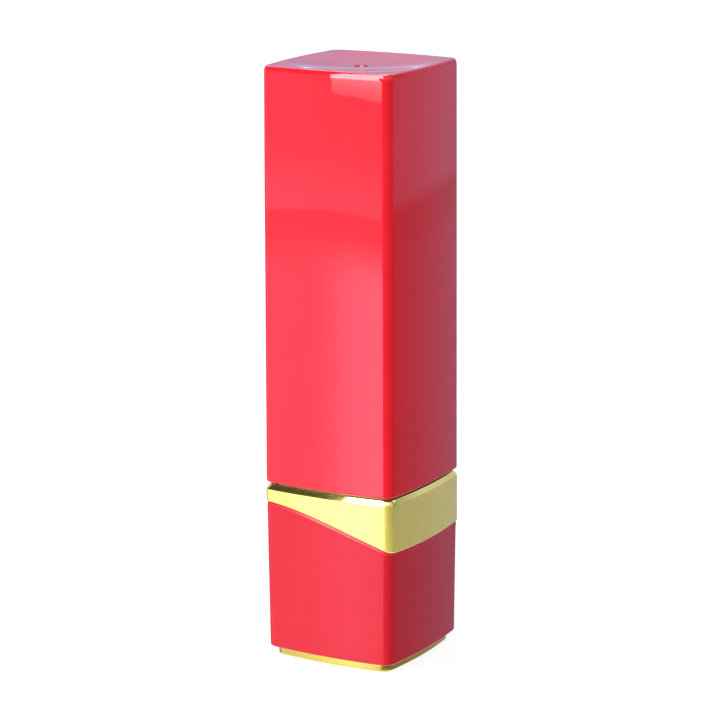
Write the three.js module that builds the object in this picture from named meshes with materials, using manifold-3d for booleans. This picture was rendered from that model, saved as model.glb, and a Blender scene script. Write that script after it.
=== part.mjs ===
// A twist-up lipstick case: a square cap over a square base with a wavy collar, and the turning
// neck, cam and cup that raise the lipstick. Millimetres, +Z up.
// The origin is the middle of the underside, and the case's axis is the Z axis.

import * as THREE from 'three';
import { mergeVertices } from 'three/addons/utils/BufferGeometryUtils.js';
import Module from 'manifold-3d';

const wasm = await Module();
wasm.setup();

// ---- Driving dimensions -------------------------------------------------------------------

const HEIGHT = 78.4;            // whole case, closed
const CAP_MOUTH = 20.0;         // across flats where the cap meets the collar
const CAP_TOP = 19.75;          // across flats at the cap's top
const BASE_TOP = 19.98;         // across flats where the base meets the collar
const BASE_FOOT = 19.55;        // across flats at the base's lower edge
const PLATE = 17.9;             // across flats of the plate under the base
const FACE_BULGE = 0.6;         // how far each face swells past the chord between its corners
const CORNER = 1.24;            // radius of the upright corners
const INNER_CORNER = 0.5;       // radius of the upright corners inside
const WALL = 1.1;               // the cap's moulded wall

const PLATE_PROUD = 1.17;       // how far the plate stands under the base
const COLLAR_TOP = 23.4;        // ledge that the cap rests over
const COLLAR_PROUD = 0.05;      // how far the collar stands out past the base
const CHAMFER_RUN = 0.33;       // polished chamfer round the collar's top, inwards
const CHAMFER_RISE = 0.62;      // and upwards
const DISH_DEPTH = 0.6;         // hollow of the cap's top
const DISH_RIM = 9.2;           // radius where the hollow runs out
const CAP_GAP = 0.25;           // shadow gap between the collar's ledge and the cap's mouth
const SEAM = 0.15;              // gap between neighbouring fixed pieces

const WAVE_HIGH = 21.2;         // wave's height on the -X face
const WAVE_LOW = 16.3;          // wave's height on the +X face

const BULLET_RADIUS = 5.95;     // the lipstick
const CUP_RADIUS = 6.35;        // outside of the cup that holds it
const GUIDE_RADIUS = 6.875;     // outside of the slotted guide tube
const CAM_RADIUS = 7.625;       // outside of the grooved cam sleeve
const NECK_RADIUS = 7.975;      // outside of the neck
const NECK_TOP = 50.5;
const NECK_FOOT = 17.45;
const RUNNING_GAP = 0.1;        // radial gap between pieces that turn or slide

const STROKE = 24;              // how far the cup rises
const LEAD = 12;                // rise for each turn of the neck
const LUG_RADIUS = 0.95;        // the cup's two lugs
const LUG_HEIGHT = 19.6;        // height of the lugs' axis with the cup down
const LUG_TIP = 7.205;          // radius that the lugs reach
const LUG_ANGLES = [Math.PI / 2, -Math.PI / 2];

const ROUND_STEPS = 48;         // facets round the turned pieces
const ARC_STEPS = 3;            // half the facets of each arc of a square outline
const PAST = 1;                 // how far a cutting shape runs past what it cuts

// ---- Working heights, from the driving dimensions -----------------------------------------

const CAP_FOOT = COLLAR_TOP + CAP_GAP;
const CAP_CEILING = HEIGHT - 2.2;
const LINER_FOOT = COLLAR_TOP + 0.05;
const LINER_TOP = 49.4;
const LINER_BORE = NECK_RADIUS + 0.145;
const CAP_CAVITY = CAP_MOUTH - 2 * WALL;
const BASE_CAVITY = 17.6;
const PLATE_PLUG = 16.0;
const PLATE_PLUG_TOP = 3.0;
const BASE_LIP_TOP = 2.4;
const WEIGHT_HEIGHT = 5.2;
const WEIGHT_RADIUS = 7.5;
const CORE_TOP = 15.4;
const CORE_WEB_FOOT = 8.5;
const CORE_WEB_TOP = 9.8;
const SOCKET_RADIUS = 7.45;
const FLANGE_TOP = 16.3;
const CUP_FOOT = LUG_HEIGHT - 1.6;
const CUP_RIM = CUP_FOOT + 11;
const CUP_WALL = 0.3;
const CUP_FLOOR = 1.0;
const BULLET_TIP = 49.3;

// ---- Materials ----------------------------------------------------------------------------

const finish = (color, roughness, metalness) => ({ color, roughness, metalness });

const RED_GLOSS = finish(0xd81f33, 0.12, 0);
const RED_SATIN = finish(0xcc2036, 0.3, 0);
const GOLD = finish(0xd9c878, 0.3, 1);
const NATURAL = finish(0xeceae2, 0.5, 0);
const BLACK = finish(0x202022, 0.6, 0);
const STEEL = finish(0x9a9a9c, 0.4, 1);
const WAX = finish(0xb3162c, 0.45, 0);

// ---- Solids -------------------------------------------------------------------------------

// A closed three.js geometry as a solid that can be joined and cut.
function solidOf(geometry) {
  geometry.deleteAttribute('normal');
  geometry.deleteAttribute('uv');
  const merged = mergeVertices(geometry, 1e-4);
  return new wasm.Manifold(new wasm.Mesh({
    numProp: 3,
    vertProperties: new Float32Array(merged.attributes.position.array),
    triVerts: new Uint32Array(merged.index.array),
  }));
}

// The solid as a named mesh with its own material.
function piece(name, solid, look) {
  const mesh = solid.getMesh();
  const geometry = new THREE.BufferGeometry();
  geometry.setAttribute('position', new THREE.BufferAttribute(mesh.vertProperties, 3));
  geometry.setIndex(new THREE.BufferAttribute(mesh.triVerts, 1));
  geometry.computeVertexNormals();
  const result = new THREE.Mesh(geometry, new THREE.MeshStandardMaterial(look));
  result.name = name;
  return result;
}

const join = (first, ...others) => others.reduce((sum, other) => sum.add(other), first);
const cut = (first, ...others) => others.reduce((rest, other) => rest.subtract(other), first);

// The case's plan: four shallow arcs for the faces, joined by four corner arcs tangent to them.
function pillowSquare(acrossFlats, corner = CORNER) {
  const half = acrossFlats / 2;
  const chordHalf = half - FACE_BULGE;
  const faceRadius = (chordHalf ** 2 + FACE_BULGE ** 2) / (2 * FACE_BULGE);
  const faceCentre = half - faceRadius;
  const reach = faceRadius - corner;
  const cornerCentre = (faceCentre + Math.sqrt(2 * reach ** 2 - faceCentre ** 2)) / 2;
  const faceHalfAngle = Math.atan2(cornerCentre, cornerCentre - faceCentre);
  const diagonal = Math.SQRT2 * cornerCentre;
  const shape = new THREE.Shape();
  for (let quarter = 0; quarter < 4; quarter += 1) {
    const facing = quarter * Math.PI / 2;
    const next = facing + Math.PI / 2;
    const between = facing + Math.PI / 4;
    shape.absarc(faceCentre * Math.cos(facing), faceCentre * Math.sin(facing), faceRadius,
      facing - faceHalfAngle, facing + faceHalfAngle);
    shape.absarc(diagonal * Math.cos(between), diagonal * Math.sin(between), corner,
      facing + faceHalfAngle, next - faceHalfAngle);
  }
  return shape;
}

// An outline raised from bottom to top. edge breaks both ends, over a height of rise: a chamfer in
// one step, a rounding in more. topScale gives the sides draft.
function prism(outline, bottom, top, { edge = 0, rise = edge, edgeSteps = 2, topScale = 1 } = {}) {
  const geometry = new THREE.ExtrudeGeometry(outline, {
    depth: top - bottom - 2 * rise,
    curveSegments: ARC_STEPS,
    bevelEnabled: edge > 0,
    bevelThickness: rise,
    bevelSize: edge,
    bevelOffset: -edge,
    bevelSegments: edgeSteps,
  });
  geometry.translate(0, 0, bottom + rise);
  const position = geometry.attributes.position;
  for (let i = 0; i < position.count; i += 1) {
    const share = (position.getZ(i) - bottom) / (top - bottom);
    const scale = THREE.MathUtils.lerp(1, topScale, share);
    position.setXY(i, position.getX(i) * scale, position.getY(i) * scale);
  }
  return solidOf(geometry);
}

// A profile of [radius, height] points turned about the Z axis. It runs anticlockwise, out along
// the bottom and back along the top, and starts and ends on the axis or closes on itself.
function turned(profile) {
  const points = profile.map(([radius, height]) => new THREE.Vector2(radius, height));
  const geometry = new THREE.LatheGeometry(points, ROUND_STEPS);
  geometry.rotateX(Math.PI / 2);
  return solidOf(geometry);
}

function cylinder(radius, bottom, top) {
  return turned([[0, bottom], [radius, bottom], [radius, top], [0, top]]);
}

function tube(inner, outer, bottom, top) {
  return turned([[inner, bottom], [outer, bottom], [outer, top], [inner, top], [inner, bottom]]);
}

// A box that reaches out along one direction, from one radius to another.
function radialBar(angle, inner, outer, width, bottom, top) {
  const geometry = new THREE.BoxGeometry(outer - inner, width, top - bottom);
  geometry.translate((inner + outer) / 2, 0, (bottom + top) / 2);
  geometry.rotateZ(angle);
  return solidOf(geometry);
}

// Angles spaced evenly round the axis.
const around = (count, start = 0) =>
  Array.from({ length: count }, (_, i) => start + i * 2 * Math.PI / count);

// Points of a circular or elliptical arc in a turned profile, as [radius, height].
function arc(centre, outReach, upReach, startAngle, endAngle, steps) {
  const curve = new THREE.EllipseCurve(centre[0], centre[1], outReach, upReach, startAngle, endAngle);
  return curve.getPoints(steps).map((point) => [point.x, point.y]);
}

// Radius of the ball that leaves a round mark of the given depth and rim radius.
const ballRadius = (depth, rim) => (rim ** 2 + depth ** 2) / (2 * depth);

// Everything above the wave that parts the collar from the base. The wave is one curve across
// the width, carried straight through along Y: level at -X, then a long slant down to +X.
function aboveWave(drop = 0) {
  const reach = 10.1;
  const end = reach + PAST;
  const shoulder = -4.6;
  const slant = new THREE.Vector2(0.2, 19.65);
  const ceiling = COLLAR_TOP + PAST;
  const side = new THREE.Shape();
  side.moveTo(-end, WAVE_HIGH - drop);
  side.lineTo(-reach, WAVE_HIGH - drop);
  side.bezierCurveTo(shoulder, WAVE_HIGH - drop, slant.x, slant.y - drop, reach, WAVE_LOW - drop);
  side.lineTo(end, WAVE_LOW - drop);
  side.lineTo(end, ceiling);
  side.lineTo(-end, ceiling);
  side.closePath();
  const depth = 2 * end;
  const geometry = new THREE.ExtrudeGeometry(side, { depth, curveSegments: 12, bevelEnabled: false });
  geometry.translate(0, 0, -end);
  geometry.rotateX(Math.PI / 2);
  return solidOf(geometry);
}

// ---- Cap ----------------------------------------------------------------------------------

// What the shallow dish in the cap's top takes away: a slice of a large ball.
function dish() {
  const ball = ballRadius(DISH_DEPTH, DISH_RIM);
  const down = -Math.PI / 2;
  const pastRim = Math.asin(1.3 * DISH_RIM / ball);
  const bowl = arc([0, HEIGHT - DISH_DEPTH + ball], ball, ball, down, down + pastRim, 6);
  const top = bowl.at(-1)[1];
  return turned([...bowl, [0, top]]);
}

// The small round mark that the moulding gate leaves in the middle of the dish.
function gateMark() {
  const depth = 0.3;
  const rim = 0.95;
  const ball = ballRadius(depth, rim);
  const geometry = new THREE.SphereGeometry(ball, 24, 24);
  geometry.rotateX(Math.PI / 2);
  geometry.translate(0, 0, HEIGHT - DISH_DEPTH - depth + ball);
  return solidOf(geometry);
}

function capShell() {
  const edge = 0.3;
  const draft = { topScale: CAP_TOP / CAP_MOUTH };
  const outside = prism(pillowSquare(CAP_MOUTH), CAP_FOOT, HEIGHT, { edge, ...draft });
  const cavity = prism(pillowSquare(CAP_CAVITY, INNER_CORNER), CAP_FOOT - PAST, CAP_CEILING, draft);
  return cut(outside, cavity, dish(), gateMark());
}

// Inner cap: a round bore for the neck, a square foot, and fins out to the cap's corners.
function capLiner() {
  const footHeight = 2;
  const wall = 0.6;
  const finWidth = 0.9;
  const grip = { depth: 0.07, width: 0.7, foot: LINER_FOOT + 5, length: 8 };
  const plan = pillowSquare(CAP_CAVITY - 2 * 0.125, INNER_CORNER);
  const envelope = prism(plan, LINER_FOOT, LINER_TOP);
  const foot = prism(plan, LINER_FOOT, LINER_FOOT + footHeight);
  const barrel = cylinder(LINER_BORE + wall, LINER_FOOT, LINER_TOP);
  const fins = around(4, Math.PI / 4).map((angle) =>
    radialBar(angle, NECK_RADIUS, CAP_MOUTH, finWidth, LINER_FOOT, LINER_TOP));
  const bore = cylinder(LINER_BORE, LINER_FOOT - PAST, LINER_TOP + PAST);
  const grips = around(6).map((angle) => radialBar(
    angle, LINER_BORE - grip.depth, LINER_BORE + wall / 2, grip.width, grip.foot, grip.foot + grip.length));
  return join(cut(join(foot, barrel, ...fins).intersect(envelope), bore), ...grips);
}

// ---- Collar and base ----------------------------------------------------------------------

// Outside band above the wave, with a square skirt inside the base and a round bore for the neck.
function waveCollar() {
  const skirtFoot = CORE_TOP + 2 * RUNNING_GAP;
  const bandFoot = WAVE_LOW - PAST - CHAMFER_RISE;
  const band = prism(pillowSquare(BASE_TOP + 2 * COLLAR_PROUD), bandFoot, COLLAR_TOP, {
    edge: CHAMFER_RUN,
    rise: CHAMFER_RISE,
    edgeSteps: 1,
  });
  const skirtTop = COLLAR_TOP - CHAMFER_RISE;
  const skirt = prism(pillowSquare(BASE_CAVITY - 2 * RUNNING_GAP, INNER_CORNER), skirtFoot, skirtTop);
  const bore = cylinder(NECK_RADIUS + 2 * RUNNING_GAP, skirtFoot - PAST, COLLAR_TOP + PAST);
  return cut(join(band.intersect(aboveWave()), skirt), bore);
}

function baseShell() {
  const top = COLLAR_TOP;
  const outside = prism(pillowSquare(BASE_FOOT), PLATE_PROUD, top, {
    edge: 0.25,
    topScale: BASE_TOP / BASE_FOOT,
  });
  const cavity = prism(pillowSquare(BASE_CAVITY, INNER_CORNER), BASE_LIP_TOP, top + PAST);
  const plugPlan = pillowSquare(PLATE_PLUG + 2 * RUNNING_GAP, INNER_CORNER);
  const opening = prism(plugPlan, 0, BASE_LIP_TOP + PAST);
  return cut(outside, cavity, opening, aboveWave(SEAM));
}

function bottomPlate() {
  const plugWall = 1.2;
  const floor = 1.6;
  const flangeTop = PLATE_PROUD - RUNNING_GAP / 2;
  const flange = prism(pillowSquare(PLATE), 0, flangeTop, { edge: 0.15, edgeSteps: 1 });
  const plug = prism(pillowSquare(PLATE_PLUG, INNER_CORNER), PLATE_PROUD / 2, PLATE_PLUG_TOP);
  const pocketPlan = pillowSquare(PLATE_PLUG - 2 * plugWall, INNER_CORNER);
  const pocket = prism(pocketPlan, floor, PLATE_PLUG_TOP + PAST);
  return cut(join(flange, plug), pocket);
}

// Steel slug with broken edges.
function baseWeight() {
  const foot = PLATE_PLUG_TOP + RUNNING_GAP;
  const top = foot + WEIGHT_HEIGHT;
  const edge = 0.4;
  return turned([
    [0, foot],
    [WEIGHT_RADIUS - edge, foot],
    [WEIGHT_RADIUS, foot + edge],
    [WEIGHT_RADIUS, top - edge],
    [WEIGHT_RADIUS - edge, top],
    [0, top],
  ]);
}

const KEY_ANGLES = around(4, Math.PI / 4);
const KEY_REACH = SOCKET_RADIUS + 0.6;
const KEYWAY_WIDTH = 1.5;
const KEY_WIDTH = 1.2;

// Inner base: pocket for the weight below its web, and a keyed socket for the guide tube above.
function baseCore() {
  const foot = PLATE_PLUG_TOP + SEAM;
  const block = prism(pillowSquare(BASE_CAVITY - 2 * RUNNING_GAP, INNER_CORNER), foot, CORE_TOP);
  const pocket = cylinder(WEIGHT_RADIUS + RUNNING_GAP, foot - PAST, CORE_WEB_FOOT);
  const socket = cylinder(SOCKET_RADIUS, CORE_WEB_TOP, CORE_TOP + PAST);
  const keyways = KEY_ANGLES.map((angle) =>
    radialBar(angle, SOCKET_RADIUS - PAST, KEY_REACH, KEYWAY_WIDTH, CORE_WEB_TOP, CORE_TOP + PAST));
  return cut(block, pocket, socket, ...keyways);
}

// ---- Mechanism ----------------------------------------------------------------------------

// Slotted tube on a keyed foot. Its flange carries the neck and its top bead keeps the neck on.
function guideTube() {
  const footBottom = CORE_WEB_TOP + 2 * RUNNING_GAP;
  const footRadius = SOCKET_RADIUS - RUNNING_GAP;
  const footBore = 5.9;
  const flangeFoot = CORE_TOP + RUNNING_GAP;
  const floorTop = FLANGE_TOP + 0.6;
  const bore = CUP_RADIUS + 0.125;
  const top = NECK_TOP - 0.6;
  const beadFoot = top - 0.55;
  const beadRadius = CAM_RADIUS - 0.325;
  const beadEdge = 0.2;
  const slotWidth = 2 * LUG_RADIUS + 0.3;
  const body = turned([
    [0, flangeFoot],
    [footBore, flangeFoot],
    [footBore, footBottom],
    [footRadius, footBottom],
    [footRadius, flangeFoot],
    [NECK_RADIUS, flangeFoot],
    [NECK_RADIUS, FLANGE_TOP],
    [GUIDE_RADIUS, FLANGE_TOP],
    [GUIDE_RADIUS, beadFoot],
    [beadRadius, beadFoot],
    [beadRadius, top - beadEdge],
    [beadRadius - beadEdge, top],
    [bore, top],
    [bore, floorTop],
    [0, floorTop],
  ]);
  const keys = KEY_ANGLES.map((angle) =>
    radialBar(angle, footRadius - PAST, KEY_REACH - RUNNING_GAP, KEY_WIDTH, footBottom, CORE_TOP));
  const slotFoot = LUG_HEIGHT - LUG_RADIUS - 2 * RUNNING_GAP;
  const slotTop = LUG_HEIGHT + STROKE + LUG_RADIUS + 2 * RUNNING_GAP;
  const slots = LUG_ANGLES.map((angle) =>
    radialBar(angle, CUP_RADIUS - PAST, GUIDE_RADIUS + PAST / 2, slotWidth, slotFoot, slotTop));
  return cut(join(body, ...keys), ...slots);
}

// Elastomer drag ring with rounded edges, on the guide tube's flange.
function brakeRing() {
  const inner = GUIDE_RADIUS + RUNNING_GAP;
  const outer = NECK_RADIUS - RUNNING_GAP;
  const foot = FLANGE_TOP + RUNNING_GAP;
  const top = NECK_FOOT - RUNNING_GAP;
  const edge = 0.2;
  return turned([
    [inner, foot + edge],
    [inner + edge, foot],
    [outer - edge, foot],
    [outer, foot + edge],
    [outer, top - edge],
    [outer - edge, top],
    [inner + edge, top],
    [inner, top - edge],
    [inner, foot + edge],
  ]);
}

// One helical groove: a long box bent round the axis as it climbs, one step past each end.
function helicalGroove(startAngle) {
  const stepsPerTurn = ROUND_STEPS / 2;
  const overrun = 2 * Math.PI / stepsPerTurn;
  const sweep = 2 * Math.PI * STROKE / LEAD + 2 * overrun;
  const steps = Math.round(sweep / overrun);
  const floor = CAM_RADIUS - 0.25;
  const mouth = GUIDE_RADIUS - 0.3;
  const width = 2 * LUG_RADIUS + 0.35;
  const geometry = new THREE.BoxGeometry(floor - mouth, 1, width, 1, steps, 1);
  const position = geometry.attributes.position;
  for (let i = 0; i < position.count; i += 1) {
    const radius = (floor + mouth) / 2 + position.getX(i);
    const swept = sweep * (position.getY(i) + 0.5) - overrun;
    const angle = startAngle + swept;
    const height = LUG_HEIGHT + LEAD * swept / (2 * Math.PI) + position.getZ(i);
    position.setXYZ(i, radius * Math.cos(angle), radius * Math.sin(angle), height);
  }
  return solidOf(geometry);
}

function camSleeve() {
  const top = NECK_TOP - 1.3;
  const body = tube(GUIDE_RADIUS + RUNNING_GAP, CAM_RADIUS, NECK_FOOT, top);
  const grooves = LUG_ANGLES.map((angle) => helicalGroove(angle));
  return cut(body, ...grooves);
}

// Metal neck: a thin sleeve whose rounded top turns in over the cam and the guide tube.
function neckShell() {
  const inner = CAM_RADIUS + RUNNING_GAP / 2;
  const mouth = CUP_RADIUS + 0.25;
  const lip = 0.5;
  const shoulder = 0.4;
  return turned([
    [inner, NECK_FOOT],
    [NECK_RADIUS, NECK_FOOT],
    ...arc([NECK_RADIUS - shoulder, NECK_TOP - shoulder], shoulder, shoulder, 0, Math.PI / 2, 3),
    [mouth, NECK_TOP],
    [mouth, NECK_TOP - lip],
    [inner, NECK_TOP - lip],
    [inner, NECK_FOOT],
  ]);
}

// Cup with a vented floor and two lugs.
function bulletCup() {
  const ventRadius = 1.5;
  const edge = 0.3;
  const bore = CUP_RADIUS - CUP_WALL;
  const body = turned([
    [ventRadius, CUP_FOOT],
    [CUP_RADIUS - edge, CUP_FOOT],
    [CUP_RADIUS, CUP_FOOT + edge],
    [CUP_RADIUS, CUP_RIM],
    [bore, CUP_RIM],
    [bore, CUP_FOOT + CUP_FLOOR],
    [ventRadius, CUP_FOOT + CUP_FLOOR],
    [ventRadius, CUP_FOOT],
  ]);
  const lugRoot = bore + CUP_WALL / 3;
  const lugs = LUG_ANGLES.map((angle) => {
    const geometry = new THREE.CylinderGeometry(LUG_RADIUS, LUG_RADIUS, LUG_TIP - lugRoot, 20);
    geometry.rotateZ(Math.PI / 2);
    geometry.translate((LUG_TIP + lugRoot) / 2, 0, 0);
    geometry.rotateZ(angle);
    geometry.translate(0, 0, LUG_HEIGHT);
    return solidOf(geometry);
  });
  return join(body, ...lugs);
}

// The lipstick: a round stick with a domed end, cut to a slanted face.
function lipstickBullet() {
  const foot = CUP_FOOT + CUP_FLOOR + 2 * RUNNING_GAP;
  const domeHeight = 6.5;
  const slantAngle = THREE.MathUtils.degToRad(48);
  const slantPoint = new THREE.Vector3(1.2, 0, BULLET_TIP - 3.6);
  const slantSize = 4 * BULLET_RADIUS;
  const dome = arc([0, BULLET_TIP - domeHeight], BULLET_RADIUS, domeHeight, 0, Math.PI / 2, 6);
  const stick = turned([[0, foot], [BULLET_RADIUS, foot], ...dome]);
  const slant = new THREE.BoxGeometry(slantSize, slantSize, slantSize);
  slant.translate(0, 0, slantSize / 2);
  slant.rotateY(slantAngle);
  slant.translate(...slantPoint.toArray());
  return cut(stick, solidOf(slant));
}

// ---- The case -----------------------------------------------------------------------------

const cap = new THREE.Group();
cap.add(
  piece('cap_shell', capShell(), RED_GLOSS),
  piece('cap_liner', capLiner(), NATURAL),
);

const base = new THREE.Group();
base.add(
  piece('wave_collar', waveCollar(), GOLD),
  piece('base_shell', baseShell(), RED_SATIN),
  piece('bottom_plate', bottomPlate(), GOLD),
  piece('base_weight', baseWeight(), STEEL),
  piece('base_core', baseCore(), BLACK),
  piece('guide_tube', guideTube(), NATURAL),
  piece('brake_ring', brakeRing(), BLACK),
);

const neck = new THREE.Group();
neck.add(
  piece('neck_shell', neckShell(), GOLD),
  piece('cam_sleeve', camSleeve(), NATURAL),
);

const carrier = new THREE.Group();
carrier.add(
  piece('bullet_cup', bulletCup(), NATURAL),
  piece('lipstick_bullet', lipstickBullet(), WAX),
);

const group = new THREE.Group();
group.add(cap, base, neck, carrier);

export default group;
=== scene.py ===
"""Looks for the twist-up lipstick case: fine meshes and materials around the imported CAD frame."""
import math

import bmesh
import bpy
from mathutils import Matrix, Vector


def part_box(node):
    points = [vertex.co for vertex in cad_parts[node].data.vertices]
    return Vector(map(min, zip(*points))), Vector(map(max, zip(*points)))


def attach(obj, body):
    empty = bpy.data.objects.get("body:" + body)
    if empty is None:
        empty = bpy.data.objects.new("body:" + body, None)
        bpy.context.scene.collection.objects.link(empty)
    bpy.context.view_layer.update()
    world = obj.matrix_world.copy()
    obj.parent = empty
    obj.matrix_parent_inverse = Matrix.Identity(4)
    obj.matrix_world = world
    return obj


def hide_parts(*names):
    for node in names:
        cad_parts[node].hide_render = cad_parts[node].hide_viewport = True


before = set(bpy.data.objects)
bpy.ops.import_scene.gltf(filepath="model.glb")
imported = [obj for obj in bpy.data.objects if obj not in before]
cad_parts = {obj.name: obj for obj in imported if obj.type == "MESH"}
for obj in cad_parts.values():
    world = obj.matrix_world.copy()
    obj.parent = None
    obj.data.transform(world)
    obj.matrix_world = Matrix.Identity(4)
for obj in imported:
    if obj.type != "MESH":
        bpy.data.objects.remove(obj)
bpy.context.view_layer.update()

MM = 0.001

# ---- Sizes, in metres, from the frame -----------------------------------------------------

CAP_LOW, CAP_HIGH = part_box("cap_shell")
COLLAR_LOW, COLLAR_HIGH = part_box("wave_collar")
BASE_LOW, BASE_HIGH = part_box("base_shell")
PLATE_LOW, PLATE_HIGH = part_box("bottom_plate")
NECK_LOW, NECK_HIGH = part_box("neck_shell")
CUP_LOW, CUP_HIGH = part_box("bullet_cup")
BULLET_LOW, BULLET_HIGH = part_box("lipstick_bullet")
LINER_LOW, LINER_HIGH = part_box("cap_liner")

# Widths are across flats. The cap and the base taper a little away from the collar.
HEIGHT = CAP_HIGH.z
CAP_MOUTH = 2 * CAP_HIGH.x
CAP_TOP = 0.9875 * CAP_MOUTH
COLLAR = 2 * COLLAR_HIGH.x
BASE_TOP = COLLAR - 0.1 * MM
BASE_FOOT = 0.9785 * BASE_TOP
PLATE = 2 * PLATE_HIGH.x
PLATE_TOP = BASE_LOW.z - 0.05 * MM
NECK_RADIUS = NECK_HIGH.x
CUP_RADIUS = CUP_HIGH.x
BULLET_RADIUS = BULLET_HIGH.x
LINER = 2 * LINER_HIGH.x

FACE_BULGE = 0.6 * MM
CORNER = 1.24 * MM
INNER_CORNER = 0.5 * MM
CAP_CAVITY = CAP_MOUTH - 2.2 * MM
BASE_CAVITY = 17.6 * MM
SKIRT = 17.4 * MM
NECK_BORE = NECK_RADIUS + 0.2 * MM
CHAMFER_RUN = 0.33 * MM
CHAMFER_RISE = 0.62 * MM
SEAM = 0.14 * MM
PLATE_PLUG = 16 * MM

FACE_STEPS = 22
CORNER_STEPS = 14
ROUND_STEPS = 4 * (FACE_STEPS + CORNER_STEPS)

# The ways that the two faces of an edge look.
OUTWARD, INWARD = 1, -1
UPWARD, DOWNWARD = 1, -1


# ---- Plans and profiles -------------------------------------------------------------------

def pillow(across, corner=CORNER):
    """The case's plan: four shallow arcs for the faces, joined by four tangent corner arcs."""
    half = across / 2
    chord_half = half - FACE_BULGE
    face_radius = (chord_half ** 2 + FACE_BULGE ** 2) / (2 * FACE_BULGE)
    face_centre = half - face_radius
    reach = face_radius - corner
    corner_centre = (face_centre + math.sqrt(2 * reach ** 2 - face_centre ** 2)) / 2
    face_angle = math.atan2(corner_centre, corner_centre - face_centre)
    corner_angle = math.pi / 2 - 2 * face_angle
    points = []
    for quarter in range(4):
        turn = Matrix.Rotation(quarter * math.pi / 2, 2)
        for step in range(FACE_STEPS):
            angle = -face_angle + 2 * face_angle * step / FACE_STEPS
            x = face_centre + face_radius * math.cos(angle)
            points.append(turn @ Vector((x, face_radius * math.sin(angle))))
        for step in range(CORNER_STEPS):
            angle = face_angle + corner_angle * step / CORNER_STEPS
            x = corner_centre + corner * math.cos(angle)
            y = corner_centre + corner * math.sin(angle)
            points.append(turn @ Vector((x, y)))
    return points


def square(half):
    """The case's plan by its half-width."""
    return pillow(2 * half)


def inner_square(half):
    """A cavity's plan by its half-width, with tighter corners."""
    return pillow(2 * half, INNER_CORNER)


def circle(radius):
    """A round plan whose points lie on the same rays as the square plan's."""
    return [point.normalized() * radius for point in pillow(CAP_MOUTH)]


def even_circle(radius, count=ROUND_STEPS):
    """A round plan with evenly spaced points."""
    angles = [2 * math.pi * step / count for step in range(count)]
    return [Vector((radius * math.cos(angle), radius * math.sin(angle))) for angle in angles]


def ring(plan, height):
    """A plan's points at one height, or at the height that a function of the point gives."""
    return [Vector((p.x, p.y, height(p) if callable(height) else height)) for p in plan]


def edge_round(size, height, run, rise, out, up, to_wall, steps=5):
    """Half-widths and heights round an edge whose two faces lie at size and height.
    out and up say which way those faces look. to_wall starts on the level face."""
    pairs = []
    for step in range(steps + 1):
        share = 1 - step / steps if to_wall else step / steps
        angle = share * math.pi / 2
        pairs.append((
            size - out * run * (1 - math.cos(angle)),
            height - up * rise * (1 - math.sin(angle)),
        ))
    return pairs


def edge_rings(plan, pairs, lift=None):
    """A ring for each pair from edge_round. lift turns a height into a function of the point."""
    return [ring(plan(size), lift(height) if lift else height) for size, height in pairs]


def wave(point):
    """Height of the curve that parts the collar from the base. It only changes along X, as a
    Bezier curve that leaves the high side level."""
    reach = 10.1 * MM
    high = BASE_HIGH.z + 0.15 * MM
    low = 16.3 * MM
    xs = (-reach, -4.6 * MM, 0.2 * MM, reach)
    zs = (high, high, 19.65 * MM, low)
    halvings = 30

    def bezier(values, t):
        a, b, c, d = values
        s = 1 - t
        return s ** 3 * a + 3 * s * s * t * b + 3 * s * t * t * c + t ** 3 * d

    before, after = 0.0, 1.0
    for _ in range(halvings):
        middle = (before + after) / 2
        if bezier(xs, middle) < point.x:
            before = middle
        else:
            after = middle
    return bezier(zs, before)


def above_wave(lift):
    """The wave's height function, moved up by lift."""
    return lambda point: wave(point) + lift


# ---- Meshes -------------------------------------------------------------------------------

def finish_at(marks, index):
    """The finish set by the last mark at or before a ring."""
    return max([mark for mark in marks if mark[0] <= index], default=(0, 0))[1]


def skin(name, rings, finishes, ends="joined", marks=(), sharp_angle=34):
    """A closed mesh through a list of rings. ends="joined" joins the last ring to the first, and
    "poles" closes both with a middle point. marks holds (first ring, finish) changes of finish."""
    mesh = bpy.data.meshes.new(name)
    shape = bmesh.new()
    loops = [[shape.verts.new(point) for point in points] for points in rings]
    count = len(loops[0])
    spans = list(zip(loops, loops[1:]))
    last = len(spans) - 1
    if ends == "joined":
        spans.append((loops[-1], loops[0]))
    for index, (first, second) in enumerate(spans):
        finish = finish_at(marks, index)
        for i in range(count):
            j = (i + 1) % count
            face = shape.faces.new((first[i], first[j], second[j], second[i]))
            face.material_index = finish
    if ends == "poles":
        for loop, index in ((loops[0], 0), (loops[-1], last)):
            middle = shape.verts.new(sum((vert.co for vert in loop), Vector()) / count)
            finish = finish_at(marks, index)
            for i in range(count):
                face = shape.faces.new((loop[i], loop[(i + 1) % count], middle))
                face.material_index = finish
    bmesh.ops.recalc_face_normals(shape, faces=shape.faces)
    shape.to_mesh(mesh)
    shape.free()
    for finish in finishes:
        mesh.materials.append(finish)
    piece = bpy.data.objects.new(name, mesh)
    bpy.context.collection.objects.link(piece)
    smooth(piece, sharp_angle)
    return piece


def smooth(piece, sharp_angle):
    """Smooth shading that keeps real edges, with the large faces ruling over the fine ones."""
    piece.data.shade_smooth()
    piece.data.set_sharp_from_angle(angle=math.radians(sharp_angle))
    weighted = piece.modifiers.new("weighted_normals", "WEIGHTED_NORMAL")
    weighted.keep_sharp = True
    weighted.weight = 100


def place(piece, body, slot, *nodes):
    """Ties a piece to its CAD body and hides the CAD nodes that it stands for. slot is not used."""
    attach(piece, body)
    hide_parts(*nodes)
    return piece


# ---- Materials ----------------------------------------------------------------------------

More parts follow.
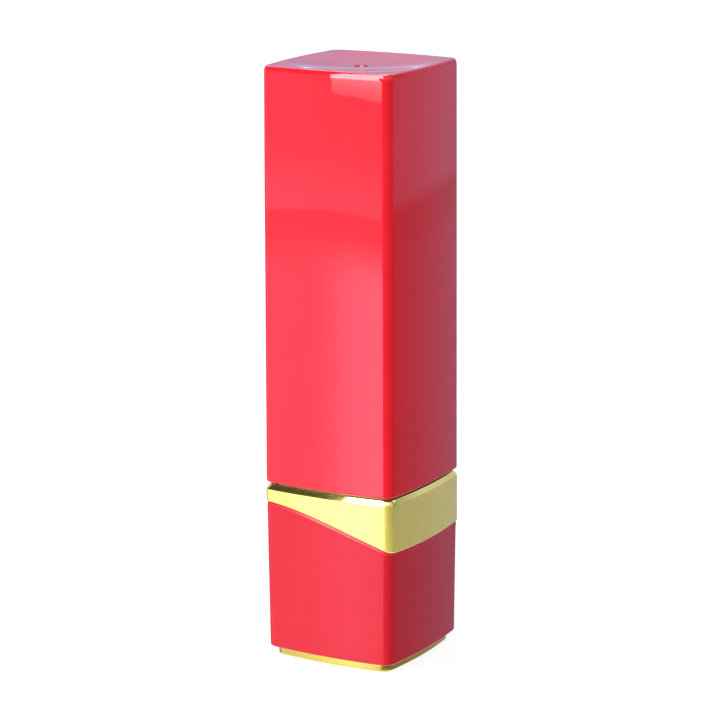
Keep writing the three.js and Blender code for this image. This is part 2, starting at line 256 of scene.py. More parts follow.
class Nodes:
    """A short way to write a material's nodes."""

    def __init__(self, name):
        self.material = bpy.data.materials.new(name)
        self.material.use_nodes = True
        self.tree = self.material.node_tree
        self.shader = self.tree.nodes["Principled BSDF"]
        self.place = self.add("ShaderNodeTexCoord").outputs["Object"]

    def add(self, kind, **values):
        node = self.tree.nodes.new(kind)
        for key, value in values.items():
            setattr(node, key, value)
        return node

    def link(self, source, target):
        self.tree.links.new(source, target)

    def set(self, **values):
        for key, value in values.items():
            self.shader.inputs[key.replace("_", " ")].default_value = value

    def noise(self, scale, detail=2.0, stretch=(1, 1, 1)):
        """Noise with a grain of 1/scale metres."""
        mapping = self.add("ShaderNodeMapping")
        mapping.inputs["Scale"].default_value = stretch
        self.link(self.place, mapping.inputs["Vector"])
        texture = self.add("ShaderNodeTexNoise")
        texture.inputs["Scale"].default_value = scale
        texture.inputs["Detail"].default_value = detail
        self.link(mapping.outputs["Vector"], texture.inputs["Vector"])
        return texture.outputs["Fac"]

    def spread(self, value, low, high, first, last):
        """Maps a value from low..high to first..last."""
        node = self.add("ShaderNodeMapRange")
        node.inputs["From Min"].default_value = low
        node.inputs["From Max"].default_value = high
        node.inputs["To Min"].default_value = first
        node.inputs["To Max"].default_value = last
        self.link(value, node.inputs["Value"])
        return node.outputs["Result"]

    def colours(self, value, first, last):
        """Blends the base colour between two colours."""
        mix = self.add("ShaderNodeMix", data_type="RGBA")
        mix.inputs["A"].default_value = (*first, 1)
        mix.inputs["B"].default_value = (*last, 1)
        self.link(value, mix.inputs["Factor"])
        self.link(mix.outputs["Result"], self.shader.inputs["Base Color"])

    def mottle(self, texture, first, last):
        """Base colour that drifts between two colours."""
        self.colours(self.spread(texture, 0.35, 0.65, 0, 1), first, last)

    def gloss(self, texture, low, high):
        """Roughness that follows a texture. The denoiser leaves a line where roughness passes
        0.274, so low and high stay on one side of it."""
        self.link(self.spread(texture, 0.3, 0.7, low, high), self.shader.inputs["Roughness"])

    def bump(self, height, distance, strength=1.0):
        """Adds a layer of bump under the ones before."""
        node = self.add("ShaderNodeBump")
        node.inputs["Distance"].default_value = distance
        node.inputs["Strength"].default_value = strength
        self.link(height, node.inputs["Height"])
        target = self.shader.inputs["Normal"]
        if target.is_linked:
            self.link(target.links[0].from_socket, node.inputs["Normal"])
        self.link(node.outputs["Normal"], target)


def moulded_red(name, colour, shade, roughness, haze, waviness):
    """Red moulded plastic: a faint mottle, a gloss that varies a little, and sink waviness."""
    nodes = Nodes(name)
    nodes.mottle(nodes.noise(140, 3), colour, shade)
    nodes.gloss(nodes.noise(260, 4, (1, 1, 0.4)), roughness, roughness + haze)
    nodes.set(IOR=1.5)
    nodes.bump(nodes.noise(110, 0), waviness)
    return nodes.material


def plated(name, colour, shade, roughness, haze, grain_scale, grain, metallic=1.0, coat=0.0):
    """Gold plating. grain is the depth of the blasted texture under it."""
    nodes = Nodes(name)
    nodes.mottle(nodes.noise(300, 2), colour, shade)
    nodes.gloss(nodes.noise(500, 3), roughness, roughness + haze)
    nodes.set(Metallic=metallic, Coat_Weight=coat, Coat_Roughness=0.3)
    nodes.bump(nodes.noise(grain_scale, 2), grain)
    return nodes.material


def turned_metal(name, colour, shade, roughness):
    """Thin drawn metal with fine lines round it."""
    nodes = Nodes(name)
    lines = nodes.noise(900, 2, (0.05, 0.05, 12))
    nodes.colours(lines, colour, shade)
    nodes.gloss(lines, roughness, roughness + 0.08)
    nodes.set(Metallic=1.0)
    nodes.bump(lines, 0.4e-6)
    return nodes.material


def plain_plastic(name, colour, shade, roughness, grain):
    """Undecorated moulded plastic with a fine spark-eroded grain."""
    nodes = Nodes(name)
    nodes.mottle(nodes.noise(200, 3), colour, shade)
    nodes.gloss(nodes.noise(900, 2), roughness, roughness + 0.1)
    nodes.bump(nodes.noise(6000, 2), grain)
    return nodes.material


def lipstick_wax():
    """Creamy wax: light spreads under a satin skin with a faint cast texture."""
    nodes = Nodes("lipstick_wax")
    nodes.mottle(nodes.noise(350, 3), (0.52, 0.014, 0.03), (0.58, 0.02, 0.04))
    nodes.gloss(nodes.noise(500, 3), 0.28, 0.4)
    nodes.set(Subsurface_Weight=0.15, Subsurface_Scale=0.6 * MM)
    nodes.bump(nodes.noise(250, 1), 8e-6)
    nodes.bump(nodes.noise(3000, 2), 0.6e-6)
    return nodes.material


CAP_RED = moulded_red(
    "cap_red", (0.76, 0.0125, 0.024), (0.79, 0.0145, 0.028),
    roughness=0.008, haze=0.01, waviness=1.5e-6,
)
# A darker red for the pit's walls round the gate's nub: painted shade in the recess.
PIT_SHADE_RED = moulded_red(
    "pit_painted_shade_red", (0.34, 0.006, 0.014), (0.4, 0.008, 0.018),
    roughness=0.12, haze=0.1, waviness=3e-6,
)
# The base's red is darker than the cap's: partly its own satin red, and partly painted shade for the
# base's dimmer lower part.
BASE_RED = moulded_red(
    "base_red", (0.6, 0.0115, 0.022), (0.62, 0.0125, 0.024),
    roughness=0.28, haze=0.015, waviness=2e-6,
)
GOLD_SATIN = plated(
    "gold_satin", (0.94, 0.81, 0.165), (0.97, 0.84, 0.19),
    roughness=0.37, haze=0.05, grain_scale=9000, grain=2.2e-6, metallic=0.7, coat=0.8,
)
GOLD_MIRROR = plated(
    "gold_mirror", (0.95, 0.78, 0.2), (0.97, 0.81, 0.24),
    roughness=0.05, haze=0.05, grain_scale=1500, grain=0.3e-6,
)
GOLD_PLATE = plated(
    "gold_plate", (0.62, 0.47, 0.08), (0.66, 0.5, 0.1),
    roughness=0.3, haze=0.06, grain_scale=5000, grain=1e-6,
)
NECK_GOLD = turned_metal("neck_gold", (0.9, 0.74, 0.36), (0.95, 0.8, 0.42), roughness=0.14)
STEEL = turned_metal("turned_steel", (0.5, 0.5, 0.51), (0.58, 0.58, 0.59), roughness=0.3)
NATURAL = plain_plastic(
    "natural_plastic", (0.78, 0.77, 0.72), (0.82, 0.81, 0.77), roughness=0.38, grain=0.8e-6,
)
# Black plastic for the base core; also used as painted shade on the faces inside the seam between the
# collar and the base.
BLACK_AND_SEAM_SHADE = plain_plastic(
    "black_plastic", (0.02, 0.02, 0.021), (0.03, 0.03, 0.031), roughness=0.45, grain=1e-6,
)
ELASTOMER = plain_plastic(
    "elastomer", (0.03, 0.03, 0.03), (0.045, 0.045, 0.045), roughness=0.6, grain=1.5e-6,
)
WAX = lipstick_wax()


# ---- Cap ----------------------------------------------------------------------------------

def dish_ring(share, across):
    """One ring of the dished top: round near the middle, and the cap's plan at the rim."""
    round_until = 0.1
    blend = 0.6
    squareness = min(1, max(0, (share - round_until) / blend))
    squareness = squareness * squareness * (3 - 2 * squareness)
    round_plan = circle(across / 2 * share)
    square_plan = [point * share for point in pillow(across)]
    return [a.lerp(b, squareness) for a, b in zip(round_plan, square_plan)]


def dish_height(point, below=0):
    """Height of the dish, a slice of a large ball whose rim fades into the flat corners."""
    depth = 0.6 * MM
    radius = 9.2 * MM
    rim_softness = 0.1
    hollow = 1 - (point.length / radius) ** 2
    soft = (hollow + math.hypot(hollow, rim_softness)) / 2
    return HEIGHT - depth * soft - below


def gate_ring(radius, depth):
    """A ring of the moulding gate's pit, at a depth below the dish."""
    return [Vector((p.x, p.y, dish_height(p, depth))) for p in circle(radius)]


def cap_shell():
    """Cap with a dished top and, in its middle, a pit with the nub that the gate left."""
    top_run = 0.3 * MM
    top_rise = 0.85 * MM
    mouth_round = 0.35 * MM
    inner_round = 0.15 * MM
    ceiling_round = 0.3 * MM
    ceiling = HEIGHT - 2.2 * MM
    ceiling_half = CAP_CAVITY / 2 * CAP_TOP / CAP_MOUTH
    nub_tip = 0.12 * MM
    nub_radius = 0.55 * MM
    nub_height = 0.36 * MM
    nub_steps = 4
    pit_foot = nub_radius + 0.08 * MM
    pit_radius = 0.95 * MM
    pit_depth = 0.28 * MM
    pit_curve = 2.2
    pit_steps = 8
    dish_steps = 40
    rim_across = CAP_TOP - 2 * top_run
    first_share = 2 * (pit_radius + 0.06 * MM) / rim_across

    rings = []
    for step in range(nub_steps + 1):
        share = step / nub_steps
        radius = nub_tip + (nub_radius - nub_tip) * share
        rings.append(gate_ring(radius, pit_depth - nub_height * (1 - share)))
    pit_start = len(rings) - 1
    for step in range(pit_steps + 1):
        share = step / pit_steps
        radius = pit_foot + (pit_radius - pit_foot) * share
        rings.append(gate_ring(radius, pit_depth * (1 - share ** pit_curve)))
    dish_start = len(rings) - 1
    for step in range(dish_steps + 1):
        share = first_share + (1 - first_share) * step / dish_steps
        rings.append(ring(dish_ring(share, rim_across), dish_height))

    top = edge_round(CAP_TOP / 2, HEIGHT, top_run, top_rise, OUTWARD, UPWARD, True, 16)
    mouth = edge_round(CAP_MOUTH / 2, CAP_LOW.z, mouth_round, mouth_round, OUTWARD, DOWNWARD, False)
    lip = edge_round(CAP_CAVITY / 2, CAP_LOW.z, inner_round, inner_round, INWARD, DOWNWARD, True, 3)
    roof = edge_round(ceiling_half, ceiling, ceiling_round, ceiling_round, OUTWARD, UPWARD, False, 3)
    rings += edge_rings(square, top[1:])
    rings += edge_rings(square, mouth)
    rings += edge_rings(inner_square, lip)
    rings += edge_rings(inner_square, roof)
    rings.append(ring([point * 0.5 for point in inner_square(CAP_CAVITY / 2)], ceiling))
    # The pit's walls take the darker red, painted shade in the recess; the nub and the dish keep the
    # cap's red.
    marks = [(0, 0), (pit_start, 1), (dish_start, 0)]
    piece = skin("cap_shell_fine", rings, [CAP_RED, PIT_SHADE_RED], "poles", marks)
    return place(piece, "cap", "red_gloss", "cap_shell")


def cap_liner():
    """Inner cap: square foot, round barrel, and a bore with six grip ribs."""
    bore = NECK_RADIUS + 0.145 * MM
    barrel = bore + 0.6 * MM
    lead_in = 0.3 * MM
    foot_edge = 0.1 * MM
    foot_top = LINER_LOW.z + 2 * MM
    rib_foot = LINER_LOW.z + 5 * MM
    rib_top = rib_foot + 8 * MM
    rib_depth = 0.07 * MM
    rib_ramp = 0.3 * MM
    rib_spacing = math.pi / 3
    rib_half_angle = math.radians(2.6)
    foot_plan = inner_square(LINER / 2)

    def ribbed(depth):
        """The bore's plan, with ribs of the given depth."""
        points = []
        for point in foot_plan:
            angle = math.atan2(point.y, point.x)
            from_rib = abs((angle + rib_spacing / 2) % rib_spacing - rib_spacing / 2)
            points.append(point.normalized() * (bore - (depth if from_rib < rib_half_angle else 0)))
        return points

    rings = [
        ring(circle(bore + lead_in), LINER_LOW.z),
        ring(inner_square(LINER / 2 - foot_edge), LINER_LOW.z),
        ring(foot_plan, LINER_LOW.z + foot_edge),
        ring(foot_plan, foot_top),
        ring(circle(barrel), foot_top),
        ring(circle(barrel), LINER_HIGH.z),
        ring(circle(bore), LINER_HIGH.z),
        ring(ribbed(0), rib_top),
        ring(ribbed(rib_depth), rib_top - rib_ramp),
        ring(ribbed(rib_depth), rib_foot + rib_ramp),
        ring(ribbed(0), rib_foot),
        ring(circle(bore), LINER_LOW.z + lead_in),
    ]
    return place(skin("cap_liner_fine", rings, [NATURAL]), "cap", "natural_plastic", "cap_liner")


# ---- Collar and base ----------------------------------------------------------------------

def wave_collar():
    """Satin band with a bright line along the wave and a mirror chamfer round the top."""
    line_run = 0.05 * MM
    line_rise = 0.16 * MM
    satin_top = COLLAR_HIGH.z - CHAMFER_RISE
    ledge = COLLAR / 2 - CHAMFER_RUN
    ledge_edge = 0.03 * MM
    bore_edge = 0.2 * MM
    rings = [
        ring(circle(NECK_BORE), COLLAR_LOW.z),
        ring(inner_square(SKIRT / 2), COLLAR_LOW.z),
        ring(inner_square(SKIRT / 2), above_wave(0)),
    ]
    line_start = len(rings)
    line = edge_round(COLLAR / 2, 0, line_run, line_rise, OUTWARD, DOWNWARD, True, 4)
    rings += edge_rings(square, line, above_wave)
    satin_start = len(rings) - 1
    rings.append(ring(square(COLLAR / 2), satin_top))
    mirror_start = len(rings) - 1
    rings.append(ring(square(ledge), COLLAR_HIGH.z - ledge_edge))
    rings.append(ring(square(ledge - ledge_edge), COLLAR_HIGH.z))
    rings.append(ring(circle(NECK_BORE + bore_edge), COLLAR_HIGH.z))
    rings.append(ring(circle(NECK_BORE), COLLAR_HIGH.z - bore_edge))
    finishes = [GOLD_SATIN, GOLD_MIRROR, BLACK_AND_SEAM_SHADE]
    # The collar's underside, skirt and bore are black: painted shade in the seam under the collar.
    marks = [(0, 2), (line_start, 1), (satin_start, 0), (mirror_start, 1)]
    piece = skin("wave_collar_fine", rings, finishes, marks=marks, sharp_angle=25)
    return place(piece, "base", "gold_plated", "wave_collar")


def base_shell():
    """Tapered base whose top edge follows the wave, a seam's width under the collar."""
    foot_round = 0.25 * MM
    top_run = 0.2 * MM
    top_rise = 0.42 * MM
    top_height = 19 * MM
    mid_height = BASE_LOW.z + 14.5 * MM
    lip_top = BASE_LOW.z + 1.23 * MM
    opening = PLATE_PLUG / 2 + 0.1 * MM
    draft = (BASE_TOP - BASE_FOOT) / (COLLAR_HIGH.z - BASE_LOW.z)

    def half_at(height):
        return (BASE_FOOT + draft * (height - BASE_LOW.z)) / 2

    foot = edge_round(BASE_FOOT / 2, BASE_LOW.z, foot_round, foot_round, OUTWARD, DOWNWARD, True)
    top = edge_round(half_at(top_height), -SEAM, top_run, top_rise, OUTWARD, UPWARD, False, 7)
    rings = [ring(inner_square(opening), BASE_LOW.z)]
    rings += edge_rings(square, foot)
    rings.append(ring(square(half_at(mid_height)), mid_height))
    rings += edge_rings(square, top, above_wave)
    seam_start = len(rings) - 1
    rings.append(ring(inner_square(BASE_CAVITY / 2), above_wave(-SEAM)))
    cavity_start = len(rings) - 1
    rings.append(ring(inner_square(BASE_CAVITY / 2), lip_top))
    rings.append(ring(inner_square(opening), lip_top))
    # The base's top ledge inside the seam is black: painted shade in the gap under the collar.
    marks = [(0, 0), (seam_start, 1), (cavity_start, 0)]
    piece = skin("base_shell_fine", rings, [BASE_RED, BLACK_AND_SEAM_SHADE], marks=marks)
    return place(piece, "base", "red_satin", "base_shell")


def bottom_plate():
    """Plate that stands proud under the base, with a hollow plug that fits its opening."""
    edge = 0.18 * MM
    pocket = inner_square(PLATE_PLUG / 2 - 1.2 * MM)
    pocket_floor = BASE_LOW.z + 0.4 * MM
    plug = inner_square(PLATE_PLUG / 2)
    rings = [
        ring([point * 0.5 for point in pocket], pocket_floor),
        ring(pocket, pocket_floor),
        ring(pocket, PLATE_HIGH.z),
        ring(plug, PLATE_HIGH.z),
        ring(plug, PLATE_TOP),
    ]
    top = edge_round(PLATE / 2, PLATE_TOP, edge, edge, OUTWARD, UPWARD, True, 4)
    foot = edge_round(PLATE / 2, PLATE_LOW.z, edge, edge, OUTWARD, DOWNWARD, False, 4)
    rings += edge_rings(square, top)
    rings += edge_rings(square, foot)
    rings.append(ring([point * 0.5 for point in square(PLATE / 2)], PLATE_LOW.z))
    piece = skin("bottom_plate_fine", rings, [GOLD_PLATE], "poles")
    return place(piece, "base", "gold_plated", "bottom_plate")


# ---- Mechanism ----------------------------------------------------------------------------

def neck_shell():
    """Drawn metal neck with a rounded shoulder and a turned-in lip."""
    inner = NECK_RADIUS - 0.3 * MM
    mouth = CUP_RADIUS + 0.25 * MM
    foot_edge = 0.05 * MM
    shoulder_round = 0.45 * MM
    mouth_round = 0.15 * MM
    lip = 0.5 * MM
    top = NECK_HIGH.z
    rings = [
        ring(even_circle(inner), NECK_LOW.z),
        ring(even_circle(NECK_RADIUS - foot_edge), NECK_LOW.z),
        ring(even_circle(NECK_RADIUS), NECK_LOW.z + foot_edge),
    ]
    shoulder = edge_round(NECK_RADIUS, top, shoulder_round, shoulder_round, OUTWARD, UPWARD, False, 8)
    rim = edge_round(mouth, top, mouth_round, mouth_round, INWARD, UPWARD, True, 4)
    rings += edge_rings(even_circle, shoulder)
    rings += edge_rings(even_circle, rim)
    rings.append(ring(even_circle(mouth), top - lip))
    rings.append(ring(even_circle(inner), top - lip))
    return place(skin("neck_shell_fine", rings, [NECK_GOLD]), "neck", "gold_anodised", "neck_shell")


def lug(name, side, inner, outer, radius, height):
    """A round lug that points out of the cup along Y, with a broken edge at its tip."""
    edge = 0.12 * MM
    angle = side * math.pi / 2
    along = Vector((math.cos(angle), math.sin(angle), 0))
    across = Vector((-along.y, along.x, 0))
    rings = []
    for reach, size in ((inner, radius), (outer - edge, radius), (outer, radius - edge)):
        points = []
        for spot in even_circle(size, 32):
            points.append(along * reach + across * spot.x + Vector((0, 0, height + spot.y)))
        rings.append(points)
    piece = skin(name, rings, [NATURAL], "poles")
    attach(piece, "carrier")
    return piece


def bullet_cup():
    """Cup with a vented floor, and the two lugs that run in the guide tube's slots."""
    bore = CUP_RADIUS - 0.3 * MM
    floor_height = CUP_LOW.z + 1 * MM
    vent = 1.5 * MM
    foot_round = 0.3 * MM
    rim_round = 0.12 * MM
    lug_foot = bore + 0.1 * MM
    lug_radius = 0.95 * MM
    lug_height = CUP_LOW.z + 1.6 * MM
    foot = edge_round(CUP_RADIUS, CUP_LOW.z, foot_round, foot_round, OUTWARD, DOWNWARD, True)
    rim = edge_round(CUP_RADIUS, CUP_HIGH.z, rim_round, rim_round, OUTWARD, UPWARD, False, 4)
    inner_rim = edge_round(bore, CUP_HIGH.z, rim_round, rim_round, INWARD, UPWARD, True, 4)
    rings = [ring(even_circle(vent), CUP_LOW.z)]
    for edge in (foot, rim, inner_rim):
        rings += edge_rings(even_circle, edge)
    rings.append(ring(even_circle(bore), floor_height))
    rings.append(ring(even_circle(vent), floor_height))
    cup = skin("bullet_cup_fine", rings, [NATURAL])
    for name, side in (("cup_lug_left", 1), ("cup_lug_right", -1)):
        lug(name, side, lug_foot, CUP_HIGH.y, lug_radius, lug_height)
    return place(cup, "carrier", "natural_plastic", "bullet_cup")


def lipstick_bullet():
    """Round stick whose domed end is cut to a slanted, slightly crowned face."""
    foot_edge = 0.2 * MM
    wall_foot = BULLET_LOW.z + foot_edge
    wall_steps = 24
    tip = BULLET_HIGH.z + 0.3 * MM
    dome_height = 6.5 * MM
    dome_foot = tip - dome_height
    slope = math.tan(math.radians(48))
    cut_x = 1.2 * MM
    cut_z = tip - 3.6 * MM
    cut_edge = 0.25 * MM
    crown = 0.2 * MM
    face_steps = 13
    halvings = 30

    def dome(radius):
        """Height of the dome at a distance from the axis."""
        return dome_foot + dome_height * math.sqrt(max(0, 1 - (radius / BULLET_RADIUS) ** 2))

    def dome_radius(height):
        """The stick's radius at a height."""
        if height <= dome_foot:
            return BULLET_RADIUS
        return BULLET_RADIUS * math.sqrt(max(0, 1 - ((height - dome_foot) / dome_height) ** 2))

    def plane(x):
        """Height of the slanted cut."""
        return cut_z - slope * (x - cut_x)

    def rim_radius(direction):
        """Where the slanted plane meets the dome along one direction, or the full radius."""
        if plane(BULLET_RADIUS * direction.x) <= dome_foot:
            return BULLET_RADIUS
        inside, outside = 0.0, BULLET_RADIUS
        for _ in range(halvings):
            middle = (inside + outside) / 2
            if plane(middle * direction.x) < dome(middle):
                inside = middle
            else:
                outside = middle
        return inside

    directions = even_circle(1.0)
    rim = []
    for direction in directions:
        radius = rim_radius(direction)
        x = direction.x * radius
        rim.append(Vector((x, direction.y * radius, min(plane(x), dome(radius)))))
    face_middle = sum(rim, Vector()) / len(rim)
    normal = Vector((slope, 0, 1)).normalized()

    rings = [
        ring([d * (BULLET_RADIUS - foot_edge) for d in directions], BULLET_LOW.z),
        ring([d * BULLET_RADIUS for d in directions], wall_foot),
    ]
    for step in range(1, wall_steps):
        points = []
        for d, spot in zip(directions, rim):
            height = wall_foot + (spot.z - wall_foot) * step / wall_steps
            radius = dome_radius(height)
            points.append(Vector((d.x * radius, d.y * radius, height)))
        rings.append(points)
    rings.append([spot - Vector((0, 0, cut_edge)) for spot in rim])
    inset = 1 - cut_edge / BULLET_RADIUS
    for step in range(1, face_steps):
        share = 1 - step / face_steps
        swell = normal * crown * (1 - share ** 2)
        rings.append([face_middle + (spot - face_middle) * share * inset + swell for spot in rim])
    piece = skin("lipstick_bullet_fine", rings, [WAX], "poles")
    return place(piece, "carrier", "lipstick_wax", "lipstick_bullet")


def dress_inner_nodes():
    """Hidden CAD nodes keep their shape and get real materials."""
    looks = {
        "base_weight": STEEL,
        "base_core": BLACK_AND_SEAM_SHADE,
        "guide_tube": NATURAL,
        "brake_ring": ELASTOMER,
        "cam_sleeve": NATURAL,
    }
    for node, look in looks.items():
        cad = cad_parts[node]
        cad.data.materials.clear()
        cad.data.materials.append(look)


# ---- Camera, stage and light --------------------------------------------------------------

def direction(azimuth, elevation):
    """Unit vector out from the case. azimuth turns from -Y towards +X."""
    return Vector((
        math.sin(azimuth) * math.cos(elevation),
        -math.cos(azimuth) * math.cos(elevation),
        math.sin(elevation),
    ))


AZIMUTH = math.radians(29.6)
ELEVATION = math.radians(13.17)
MIDDLE = Vector((0, 0, HEIGHT / 2))


def camera():
    """A long lens that looks at the middle of the case, with a slight roll."""
    distance = 405.4 * MM
    roll = Matrix.Rotation(math.radians(-0.207), 4, "Z")
    back = direction(AZIMUTH, ELEVATION)
    data = bpy.data.cameras.new("camera")
    data.lens = 154.95
    data.sensor_width = 36
    data.shift_x = -0.0029
    data.shift_y = -0.00025
    data.clip_start = 0.01
    shot = bpy.data.objects.new("camera", data)
    bpy.context.collection.objects.link(shot)
    facing = (-back).to_track_quat("-Z", "Y").to_matrix().to_4x4()
    shot.matrix_world = Matrix.Translation(MIDDLE + back * distance) @ facing @ roll
    bpy.context.scene.camera = shot


def floor():
    """A wide pale floor. Mirror-like faces see the studio's cards instead of it."""
    mesh = bpy.data.meshes.new("floor")
    shape = bmesh.new()
    bmesh.ops.create_circle(shape, cap_ends=True, radius=4, segments=64)
    shape.to_mesh(mesh)
    shape.free()
    plane = bpy.data.objects.new("floor", mesh)
    bpy.context.collection.objects.link(plane)
    nodes = Nodes("pale_floor")
    nodes.colours(nodes.noise(3, 2), (0.34, 0.34, 0.34), (0.36, 0.36, 0.36))
    nodes.set(Roughness=0.9, Emission_Color=(1, 1, 1, 1), Emission_Strength=0.78)
    mesh.materials.append(nodes.material)
    plane.visible_glossy = False
    plane.visible_diffuse = False


def area_light(name, azimuth, elevation, distance, size, exposure):
    """A soft square light that faces the case. azimuth is measured from the camera's, to its right.
    exposure is how bright a white sheet would look that faces the light at the case."""
    way = direction(AZIMUTH + math.radians(azimuth), math.radians(elevation))
    data = bpy.data.lights.new(name, "AREA")
    data.size = size
    data.energy = exposure * (math.pi * distance) ** 2
    lamp = bpy.data.objects.new(name, data)
    bpy.context.collection.objects.link(lamp)
    lamp.location = MIDDLE + way * distance
    lamp.rotation_mode = "QUATERNION"
    lamp.rotation_quaternion = (-way).to_track_quat("-Z", "Y")
    lamp.visible_glossy = False


# What glossy faces see: cards with soft edges, added together. Angles are in degrees, azimuth from
# the camera's to its right and elevation from the horizon. Each edge is (angle, softness).
COOL = (1.0, 1.0, 1.38)
PALE = (1.0, 1.0, 1.1)
BLUISH = (1.0, 1.0, 1.5)
LAVENDER = (0.9, 1.0, 1.5)
LEFT_WALL = ((-120, 4), (-44.5, 0.35))
SOFTBOX = ((-57.6, 0.25), (-44.8, 0.3))
RIGHT_WALL = ((112, 22), (200, 20))
BEHIND = ((112, 12), (235, 15))
FAR_ROOM = ((150, 10), (235, 15))
ALL_ROUND = ((-200, 1), (300, 1))
# Each card: its sides, its foot and top, its strength and its colour.
CARDS = [
    # Left wall, a brighter line where it meets the table, and the table before it.
    (LEFT_WALL, ((-26, 3), (5, 3)), 0.58, COOL),
    (LEFT_WALL, ((-10.17, 0.03), (-9.4, 0.7)), 0.5, COOL),
    (LEFT_WALL, ((-26, 3), (-10.9, 0.55)), 0.45, COOL),
    (((-56.5, 8), (-44.5, 0.35)), ((-26, 3), (-11.0, 0.6)), 1.4, COOL),
    # Softbox: its dim lower edge, its bright middle, and its upper part.
    (SOFTBOX, ((-7.97, 0.03), (12, 4)), 1.3, PALE),
    (SOFTBOX, ((-7.5, 0.5), (12, 4)), 7.0, PALE),
    (SOFTBOX, ((-4, 3), (12, 4)), 4.0, PALE),
    (((-58.5, 1), (-30, 8)), ((12, 4), (29, 2)), 13.0, PALE),
    (((-60.5, 1), (-30, 8)), ((29, 2), (60, 8)), 13.0, PALE),
    # A small light overhead.
    (ALL_ROUND, ((66, 3), (95, 1)), 10.0, PALE),
    # Right wall, with the table before it.
    (RIGHT_WALL, ((-30, 4), (3, 5)), 0.28, BLUISH),
    (RIGHT_WALL, ((-30, 4), (-10.7, 0.5)), 0.08, BLUISH),
    (((88, 20), (138, 14)), ((-10.08, 0.2), (3, 5)), 0.27, BLUISH),
    # Room behind the case, with a bright line at its foot.
    (BEHIND, ((4, 3), (60, 15)), 0.48, LAVENDER),
    (BEHIND, ((13, 6), (60, 15)), 0.24, LAVENDER),
    (BEHIND, ((34, 8), (66, 3)), 4.0, PALE),
    (FAR_ROOM, ((-9, 2), (4, 3)), 0.42, LAVENDER),
    (FAR_ROOM, ((-9, 1), (0.5, 2.5)), 0.5, PALE),
    # Room behind the camera, and the table close to the case.
    (((-44, 2), (95, 10)), ((3, 4), (75, 10)), 0.7, PALE),
    (ALL_ROUND, ((-95, 1), (-33, 6)), 1.7, PALE),
]
# The foot of each wall runs aslant: over a span of azimuth, elevation gains this many degrees.
SLANTS = [((-59, -44.5), 0.21), ((107, 137), -0.74)]
WRAP_AZIMUTH = -120
DARK = (0.08, 0.08, 0.09)
AMBIENT = (0.1, 0.1, 0.105)
BACKDROP = (0.97, 0.97, 0.97)


def feed(tree, socket, value):
    """Puts a plain value or another node's result into a socket."""
    if isinstance(value, bpy.types.NodeSocket):
        tree.links.new(value, socket)
    else:
        socket.default_value = value


def reckon(tree, kind, operation, *values):
    """The result of a Math or VectorMath node."""
    node = tree.nodes.new("ShaderNode" + kind)
    node.operation = operation
    for socket, value in zip(node.inputs, values):
        feed(tree, socket, value)
    return node.outputs[0]


def step_up(tree, value, edge, softness):
    """Rises from 0 to 1 across an edge."""
    node = tree.nodes.new("ShaderNodeMapRange")
    node.interpolation_type = "SMOOTHSTEP"
    node.inputs["From Min"].default_value = edge - softness
    node.inputs["From Max"].default_value = edge + softness
    feed(tree, node.inputs["Value"], value)
    return node.outputs["Result"]


def ray_angles(tree):
    """A ray's azimuth from the camera's, which jumps at WRAP_AZIMUTH, and its elevation."""
    way = tree.nodes.new("ShaderNodeTexCoord").outputs["Generated"]
    turn = tree.nodes.new("ShaderNodeVectorRotate")
    turn.rotation_type = "Z_AXIS"
    turn.inputs["Angle"].default_value = -AZIMUTH
    feed(tree, turn.inputs["Vector"], way)
    parts = tree.nodes.new("ShaderNodeSeparateXYZ")
    feed(tree, parts.inputs["Vector"], turn.outputs["Vector"])
    right, ahead, up = parts.outputs
    toward = reckon(tree, "Math", "MULTIPLY", ahead, -1)
    azimuth = reckon(tree, "Math", "DEGREES", reckon(tree, "Math", "ARCTAN2", right, toward))
    elevation = reckon(tree, "Math", "DEGREES", reckon(tree, "Math", "ARCSINE", up))
    wraps = reckon(tree, "Math", "LESS_THAN", azimuth, WRAP_AZIMUTH)
    azimuth = reckon(tree, "Math", "ADD", azimuth, reckon(tree, "Math", "MULTIPLY", wraps, 360))
    return azimuth, elevation


def slanted(tree, azimuth, elevation):
    """Elevation, with the slants of the walls' feet added."""
    for azimuths, gain in SLANTS:
        node = tree.nodes.new("ShaderNodeMapRange")
        node.inputs["From Min"].default_value = azimuths[0]
        node.inputs["From Max"].default_value = azimuths[1]
        node.inputs["To Max"].default_value = gain
        feed(tree, node.inputs["Value"], azimuth)
        elevation = reckon(tree, "Math", "ADD", elevation, node.outputs["Result"])
    return elevation


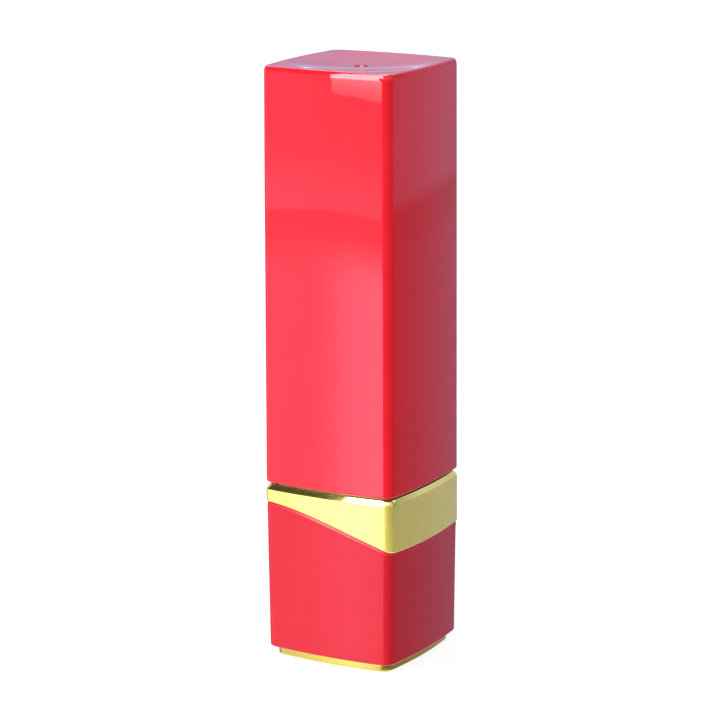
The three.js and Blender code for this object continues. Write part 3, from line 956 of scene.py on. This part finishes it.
def reflections(tree):
    """The sum of all the cards, on a dark ground."""
    azimuth, elevation = ray_angles(tree)
    height = slanted(tree, azimuth, elevation)
    total = DARK
    for sides, levels, strength, colour in CARDS:
        mask = strength
        for value, (start, end) in ((azimuth, sides), (height, levels)):
            rise = step_up(tree, value, *start)
            fall = reckon(tree, "Math", "SUBTRACT", 1, step_up(tree, value, *end))
            mask = reckon(tree, "Math", "MULTIPLY", mask, reckon(tree, "Math", "MULTIPLY", rise, fall))
        glow = reckon(tree, "VectorMath", "MULTIPLY", colour, mask)
        total = reckon(tree, "VectorMath", "ADD", total, glow)
    return total


def for_rays(tree, ray, usual, special):
    """Shows special to one kind of ray and usual to the others."""
    path = tree.nodes.new("ShaderNodeLightPath")
    choice = tree.nodes.new("ShaderNodeMix")
    choice.data_type = "RGBA"
    feed(tree, choice.inputs["Factor"], path.outputs[ray])
    feed(tree, choice.inputs["A"], usual)
    feed(tree, choice.inputs["B"], special)
    return choice.outputs["Result"]


def studio():
    """The world: an even pale room for light, and the cards for what glossy faces reflect."""
    world = bpy.data.worlds.new("studio")
    world.use_nodes = True
    world.cycles.sampling_method = "NONE"
    bpy.context.scene.world = world
    tree = world.node_tree
    seen = for_rays(tree, "Is Glossy Ray", (*AMBIENT, 1), reflections(tree))
    seen = for_rays(tree, "Is Camera Ray", seen, (*BACKDROP, 1))
    feed(tree, tree.nodes["Background"].inputs["Color"], seen)


def lights():
    area_light("key", azimuth=-78, elevation=18, distance=1.4, size=0.9, exposure=1.15)
    area_light("front", azimuth=2, elevation=18, distance=1.2, size=0.9, exposure=1.03)
    area_light("fill", azimuth=75, elevation=45, distance=0.15, size=0.1, exposure=0.05)
    area_light("back", azimuth=-165, elevation=8, distance=1.4, size=0.9, exposure=0.8)


# ---- Build --------------------------------------------------------------------------------

cap_shell()
cap_liner()
wave_collar()
base_shell()
bottom_plate()
neck_shell()
bullet_cup()
lipstick_bullet()
dress_inner_nodes()
camera()
floor()
studio()
lights()
bpy.context.scene.view_settings.view_transform = "Standard"
